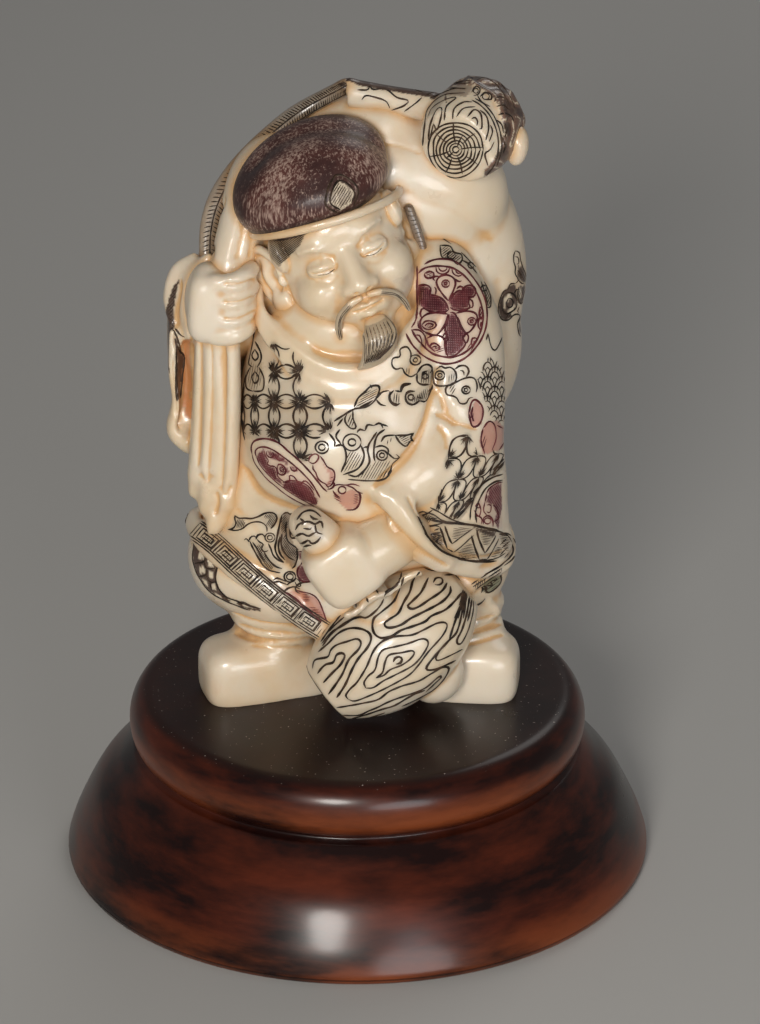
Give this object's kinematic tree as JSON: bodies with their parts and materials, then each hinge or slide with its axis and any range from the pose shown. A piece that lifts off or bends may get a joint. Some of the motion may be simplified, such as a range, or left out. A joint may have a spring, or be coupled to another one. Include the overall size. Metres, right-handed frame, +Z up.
{
  "type": "ivory statuette on a turned wood stand",
  "caption": "Small carved ivory figure of a stout smiling traveller with a sack and mallets, standing on a round turned wood stand.",
  "frame": {"origin": "centre of the stand's underside, on the surface it stands on", "axes": "+Z up, the figure faces -Y, +X is to the right of someone who looks at its face"},
  "size_m": [0.0892, 0.0892, 0.1224],
  "materials": {
    "ivory": "polished, with lines engraved and stained black, brown and dark red",
    "lacquered_wood": "dark red-brown gloss lacquer"
  },
  "bodies": {
    "root": {"ivory_figure": "ivory", "wood_stand": "lacquered_wood"}
  },
  "joints": []
}
